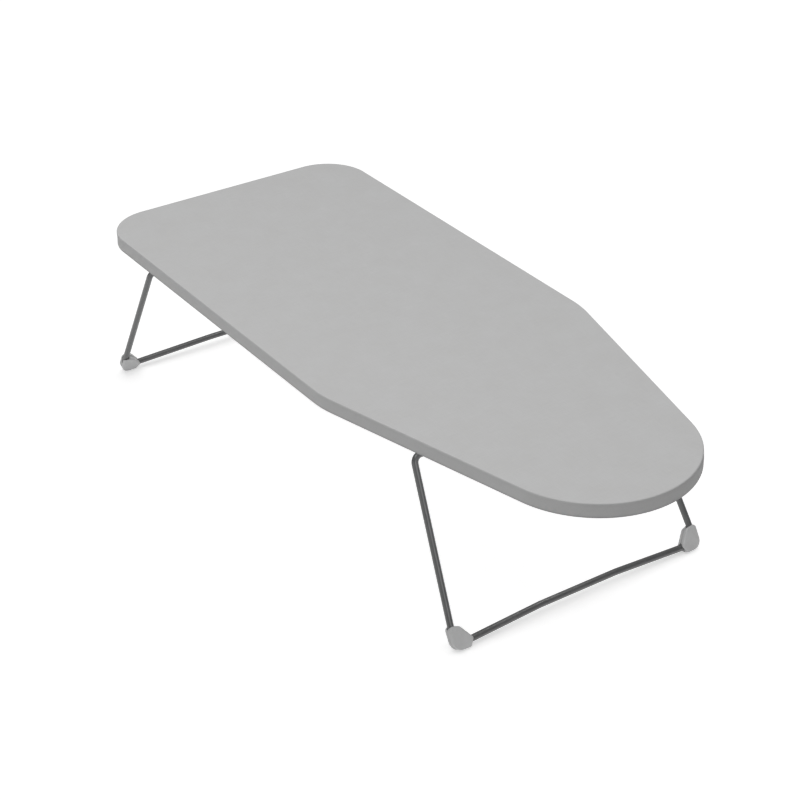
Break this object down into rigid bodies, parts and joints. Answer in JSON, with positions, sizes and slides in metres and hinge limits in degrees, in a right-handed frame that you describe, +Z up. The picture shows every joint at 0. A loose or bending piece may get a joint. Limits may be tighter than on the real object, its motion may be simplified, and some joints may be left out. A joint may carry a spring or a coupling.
{
  "type": "tabletop ironing board",
  "caption": "Low ironing board with a padded, cloth-covered deck that narrows to a round nose, on wire legs with moulded feet that fold flat underneath.",
  "frame": {"origin": "on the table under the centre of the board: the middle of the bounding box's underside", "axes": "+Z up; +X towards the round nose; +Y to the board's left, seen from the rear towards the nose"},
  "size_m": [0.73, 0.3056, 0.1684],
  "materials": {
    "cover_cloth": "plain light grey cotton, closely woven, matt",
    "felt": "off-white needled felt",
    "elastic_cord": "off-white braided elastic cord",
    "deck_steel": "dark grey stoved paint on pressed and expanded steel",
    "wire_steel": "dark grey powder coat, satin, on round steel wire",
    "rivet_zinc": "zinc-plated rivets",
    "foot_plastic": "mid grey moulded plastic, satin",
    "fitting_plastic": "black moulded nylon, finely grained"
  },
  "bodies": {
    "board": {"cover": "cover_cloth", "felt_pad": "felt", "hem_elastic": "elastic_cord", "deck_mesh": "deck_steel", "rim_frame": "deck_steel", "spine_rail": "deck_steel", "front_cross_rail": "deck_steel", "front_right_saddle": "fitting_plastic", "front_right_saddle_rivet_a": "rivet_zinc", "front_right_saddle_rivet_b": "rivet_zinc", "front_left_saddle": "fitting_plastic", "front_left_saddle_rivet_a": "rivet_zinc", "front_left_saddle_rivet_b": "rivet_zinc", "front_leg_catch": "fitting_plastic", "front_leg_catch_rivet_a": "rivet_zinc", "front_leg_catch_rivet_b": "rivet_zinc", "rear_cross_rail": "deck_steel", "rear_right_saddle": "fitting_plastic", "rear_right_saddle_rivet_a": "rivet_zinc", "rear_right_saddle_rivet_b": "rivet_zinc", "rear_left_saddle": "fitting_plastic", "rear_left_saddle_rivet_a": "rivet_zinc", "rear_left_saddle_rivet_b": "rivet_zinc", "rear_leg_catch": "fitting_plastic", "rear_leg_catch_rivet_a": "rivet_zinc", "rear_leg_catch_rivet_b": "rivet_zinc"},
    "front_leg": {"front_leg_wire": "wire_steel", "front_right_foot_outer_shell": "foot_plastic", "front_right_foot_inner_shell": "foot_plastic", "front_left_foot_outer_shell": "foot_plastic", "front_left_foot_inner_shell": "foot_plastic"},
    "rear_leg": {"rear_leg_wire": "wire_steel", "rear_right_foot_outer_shell": "foot_plastic", "rear_right_foot_inner_shell": "foot_plastic", "rear_left_foot_outer_shell": "foot_plastic", "rear_left_foot_inner_shell": "foot_plastic"}
  },
  "joints": [
    {"name": "front_leg_fold", "type": "hinge", "parent": "board", "child": "front_leg", "pos_m": [0.1774, 0, 0.1503], "axis": [0, 1, 0], "range_deg": [0, 119]},
    {"name": "rear_leg_fold", "type": "hinge", "parent": "board", "child": "rear_leg", "pos_m": [-0.2642, 0, 0.1503], "axis": [0, -1, 0], "range_deg": [0, 116]}
  ]
}
